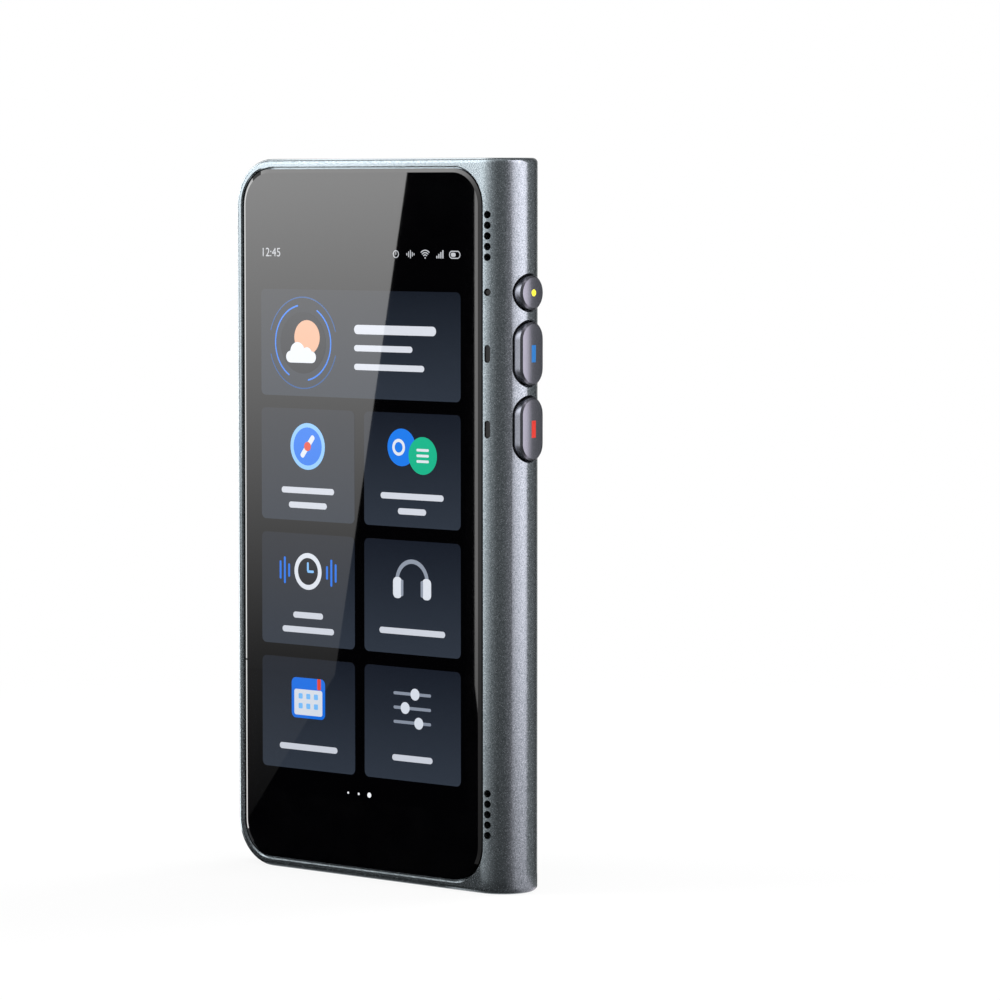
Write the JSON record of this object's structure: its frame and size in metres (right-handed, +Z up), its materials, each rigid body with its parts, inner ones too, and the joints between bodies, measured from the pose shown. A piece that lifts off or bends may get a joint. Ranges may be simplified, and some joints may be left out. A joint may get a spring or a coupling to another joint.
{
  "type": "handheld translator",
  "caption": "Slim handheld voice translator with a touch screen, a half-round button spine, a volume rocker, a card tray, a rear camera and flash, and a charging socket.",
  "frame": {"origin": "middle of the bottom end that the device stands on", "axes": "+Z up along the device to its top end, -Y out of the touch screen, +Y out of the back, +X towards the half-round spine with the push buttons"},
  "size_m": [0.0598, 0.011, 0.116],
  "materials": {
    "grey_metal": "fine metallic grey lacquer",
    "plate_metal": "light metallic grey lacquer",
    "dark_band": "satin near-black plastic",
    "adhesive": "black foam tape",
    "cover_glass": "polished dark glass",
    "display": "dark display cell",
    "steel": "plain pressed steel",
    "flex": "amber flexible circuit",
    "magnesium": "cast light alloy",
    "cell": "laminated pouch",
    "board": "green solder mask",
    "black_plastic": "moulded black plastic",
    "lens": "coated lens glass",
    "ring_metal": "bright turned edge",
    "dark_glass": "tinted cover glass",
    "clear_lens": "clear lens",
    "lamp": "pale yellow phosphor",
    "gasket": "black silicone",
    "mesh": "fine woven mesh",
    "smoked_lens": "smoked lens",
    "gold": "gold-plated contacts",
    "button_grey": "satin purple-grey plastic",
    "yellow_mark": "yellow inlay",
    "blue_mark": "blue inlay",
    "red_mark": "red inlay",
    "card": "white plastic card"
  },
  "bodies": {
    "housing": {"front_frame": "grey_metal", "side_band": "dark_band", "side_strip": "dark_band", "back_cover": "grey_metal", "back_plate": "plate_metal", "plate_adhesive": "adhesive", "cover_glass": "cover_glass", "glass_adhesive": "adhesive", "display_panel": "display", "backlight_tray": "steel", "display_flex": "flex", "chassis_plate": "magnesium", "battery": "cell", "main_board": "board", "sub_board": "board", "shield_front": "steel", "shield_back": "steel", "board_connectors": "black_plastic", "battery_lead": "flex", "board_flex": "flex", "antenna_flex": "flex", "camera_module": "black_plastic", "camera_lens": "lens", "camera_ring": "ring_metal", "camera_window": "dark_glass", "flash_window": "clear_lens", "flash_led": "lamp", "usb_socket": "steel", "usb_tongue": "black_plastic", "usb_gasket": "gasket", "bottom_microphone": "steel", "vibration_motor": "steel", "top_speaker": "black_plastic", "bottom_speaker": "black_plastic", "speaker_meshes": "mesh", "button_board": "board", "button_switches": "steel", "indicator_leds": "lamp", "power_light_pipe": "smoked_lens", "blue_light_pipe": "smoked_lens", "red_light_pipe": "smoked_lens", "button_flex": "flex", "rocker_fulcrum": "steel", "side_key_board": "board", "volume_switches": "steel", "sim_socket": "steel", "sim_contacts": "gold", "housing_screws": "steel"},
    "power_button_body": {"power_button": "button_grey", "power_mark": "yellow_mark"},
    "blue_button_body": {"blue_button": "button_grey", "blue_mark": "blue_mark"},
    "red_button_body": {"red_button": "button_grey", "red_mark": "red_mark"},
    "rocker_body": {"volume_rocker": "dark_band"},
    "tray_body": {"sim_tray": "dark_band", "sim_card": "card"}
  },
  "joints": [
    {"name": "power_button_press", "type": "slide", "parent": "housing", "child": "power_button_body", "axis": [-1, 0, 0], "range_m": [0, 0.0004], "stiffness_N_per_m": 3000},
    {"name": "blue_button_press", "type": "slide", "parent": "housing", "child": "blue_button_body", "axis": [-1, 0, 0], "range_m": [0, 0.0004], "stiffness_N_per_m": 3000},
    {"name": "red_button_press", "type": "slide", "parent": "housing", "child": "red_button_body", "axis": [-1, 0, 0], "range_m": [0, 0.0004], "stiffness_N_per_m": 3000},
    {"name": "volume_rocker_tip", "type": "hinge", "parent": "housing", "child": "rocker_body", "pos_m": [-0.0265, -0.0015, 0.0945], "axis": [0, 1, 0], "range_deg": [-1.8, 1.8], "stiffness_Nm_per_rad": 0.25},
    {"name": "sim_tray_slide", "type": "slide", "parent": "housing", "child": "tray_body", "axis": [-1, 0, 0], "range_m": [0, 0.013]}
  ]
}
